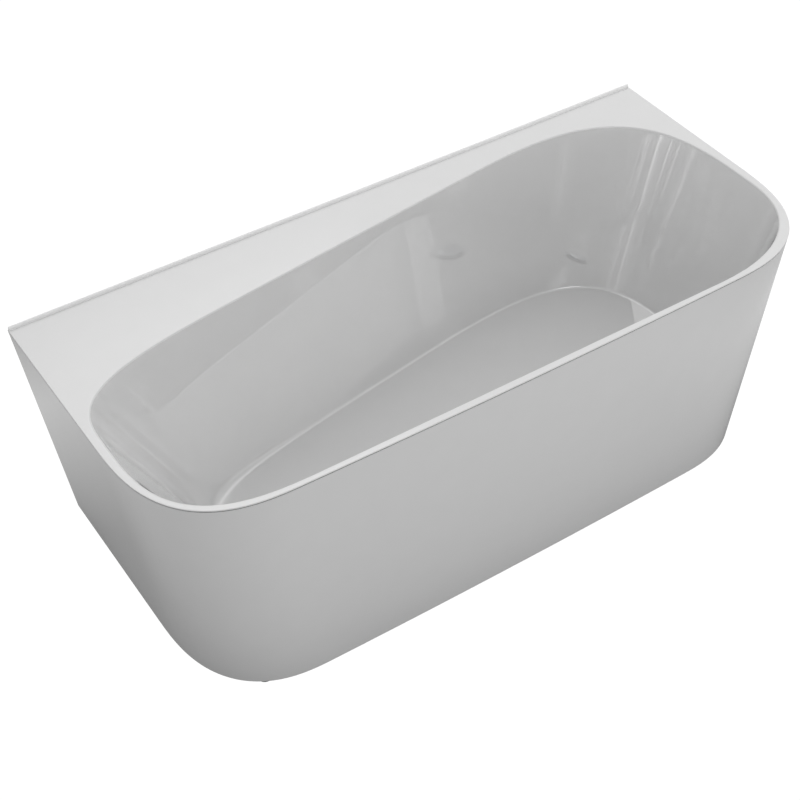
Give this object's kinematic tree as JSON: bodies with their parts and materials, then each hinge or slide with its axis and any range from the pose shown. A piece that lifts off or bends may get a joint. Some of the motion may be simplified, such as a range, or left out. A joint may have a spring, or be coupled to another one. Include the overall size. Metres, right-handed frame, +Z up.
{
  "type": "bathtub",
  "caption": "Back-to-wall bathtub: slanted acrylic basin and skirt with rounded front corners on a steel cradle with screw feet, click-clack waste.",
  "frame": {"origin": "on the floor, under the middle of the outer box", "axes": "+X along the bath to the foot end, +Y to the wall, +Z up"},
  "size_m": [1.7, 0.7359, 0.61],
  "materials": {
    "white_acrylic": "white sanitary acrylic, gloss inside, satin outside",
    "glass_fibre_laminate": "sprayed glass fibre and resin, rough",
    "chipboard": "raw chipboard",
    "pine": "planed softwood",
    "grey_adhesive": "cured bonding adhesive, matt",
    "zinc_steel": "zinc plated, bright",
    "galvanised_tube": "galvanised, spangled",
    "black_plastic": "moulded, fine grain",
    "grey_plastic": "moulded, fine grain",
    "chrome": "polished chrome plate",
    "white_plastic": "moulded, semi-gloss",
    "rubber": "moulded rubber",
    "spring_steel": "drawn wire"
  },
  "bodies": {
    "bath": {"bath_shell": "white_acrylic", "shell_reinforcement": "glass_fibre_laminate", "base_board": "chipboard", "outer_skirt": "white_acrylic", "rim_bond_bead": "grey_adhesive", "wall_upstand": "white_acrylic", "skirt_batten_front": "pine", "skirt_batten_left": "pine", "skirt_batten_right": "pine", "skirt_brackets": "zinc_steel", "bracket_screws": "zinc_steel", "frame_rail_front": "galvanised_tube", "frame_rail_rear": "galvanised_tube", "board_screws": "zinc_steel", "cross_rail_left": "galvanised_tube", "cross_rail_centre": "galvanised_tube", "cross_rail_right": "galvanised_tube", "rear_post_left": "galvanised_tube", "rear_post_centre": "galvanised_tube", "rear_post_right": "galvanised_tube", "post_plates": "zinc_steel", "batten_screws": "zinc_steel", "rear_batten": "pine", "tube_end_caps": "black_plastic", "foot_brackets": "zinc_steel", "waste_body": "chrome", "waste_gasket_top": "rubber", "waste_gasket_bottom": "rubber", "waste_washer": "white_plastic", "waste_backnut": "white_plastic", "waste_strainer": "white_plastic", "click_cartridge": "white_plastic", "plug_spring": "spring_steel"},
    "plug": {"plug_cap": "chrome", "plug_seal": "rubber", "plug_stem": "chrome"},
    "foot_front_left": {"foot_front_left_stud": "zinc_steel", "foot_front_left_pad": "grey_plastic"},
    "nuts_front_left": {"foot_front_left_nuts": "zinc_steel"},
    "foot_front_right": {"foot_front_right_stud": "zinc_steel", "foot_front_right_pad": "grey_plastic"},
    "nuts_front_right": {"foot_front_right_nuts": "zinc_steel"},
    "foot_rear_left": {"foot_rear_left_stud": "zinc_steel", "foot_rear_left_pad": "grey_plastic"},
    "nuts_rear_left": {"foot_rear_left_nuts": "zinc_steel"},
    "foot_rear_right": {"foot_rear_right_stud": "zinc_steel", "foot_rear_right_pad": "grey_plastic"},
    "nuts_rear_right": {"foot_rear_right_nuts": "zinc_steel"},
    "foot_centre": {"foot_centre_stud": "zinc_steel", "foot_centre_pad": "grey_plastic"},
    "nuts_centre": {"foot_centre_nuts": "zinc_steel"}
  },
  "joints": [
    {"name": "plug_slide", "type": "slide", "parent": "bath", "child": "plug", "axis": [0, 0, 1], "range_m": [0, 0.008], "deforming": ["plug_spring"]},
    {"name": "foot_front_left_height", "type": "slide", "parent": "bath", "child": "foot_front_left", "axis": [0, 0, -1], "range_m": [0, 0.025]},
    {"name": "nuts_front_left_turn", "type": "hinge", "parent": "bath", "child": "nuts_front_left", "pos_m": [-0.652, -0.308, 0.08], "axis": [0, 0, 1], "range_deg": [0, 5143]},
    {"name": "foot_front_right_height", "type": "slide", "parent": "bath", "child": "foot_front_right", "axis": [0, 0, -1], "range_m": [0, 0.025]},
    {"name": "nuts_front_right_turn", "type": "hinge", "parent": "bath", "child": "nuts_front_right", "pos_m": [0.652, -0.308, 0.08], "axis": [0, 0, 1], "range_deg": [0, 5143]},
    {"name": "foot_rear_left_height", "type": "slide", "parent": "bath", "child": "foot_rear_left", "axis": [0, 0, -1], "range_m": [0, 0.025]},
    {"name": "nuts_rear_left_turn", "type": "hinge", "parent": "bath", "child": "nuts_rear_left", "pos_m": [-0.652, 0.3, 0.08], "axis": [0, 0, 1], "range_deg": [0, 5143]},
    {"name": "foot_rear_right_height", "type": "slide", "parent": "bath", "child": "foot_rear_right", "axis": [0, 0, -1], "range_m": [0, 0.025]},
    {"name": "nuts_rear_right_turn", "type": "hinge", "parent": "bath", "child": "nuts_rear_right", "pos_m": [0.652, 0.3, 0.08], "axis": [0, 0, 1], "range_deg": [0, 5143]},
    {"name": "foot_centre_height", "type": "slide", "parent": "bath", "child": "foot_centre", "axis": [0, 0, -1], "range_m": [0, 0.025]},
    {"name": "nuts_centre_turn", "type": "hinge", "parent": "bath", "child": "nuts_centre", "pos_m": [0.03, 0, 0.08], "axis": [0, 0, 1], "range_deg": [0, 5143]}
  ],
  "couplings": [
    {"joint": "nuts_front_left_turn", "follows": "foot_front_left_height", "rad_per_m": 3590.4},
    {"joint": "nuts_front_right_turn", "follows": "foot_front_right_height", "rad_per_m": 3590.4},
    {"joint": "nuts_rear_left_turn", "follows": "foot_rear_left_height", "rad_per_m": 3590.4},
    {"joint": "nuts_rear_right_turn", "follows": "foot_rear_right_height", "rad_per_m": 3590.4},
    {"joint": "nuts_centre_turn", "follows": "foot_centre_height", "rad_per_m": 3590.4}
  ]
}
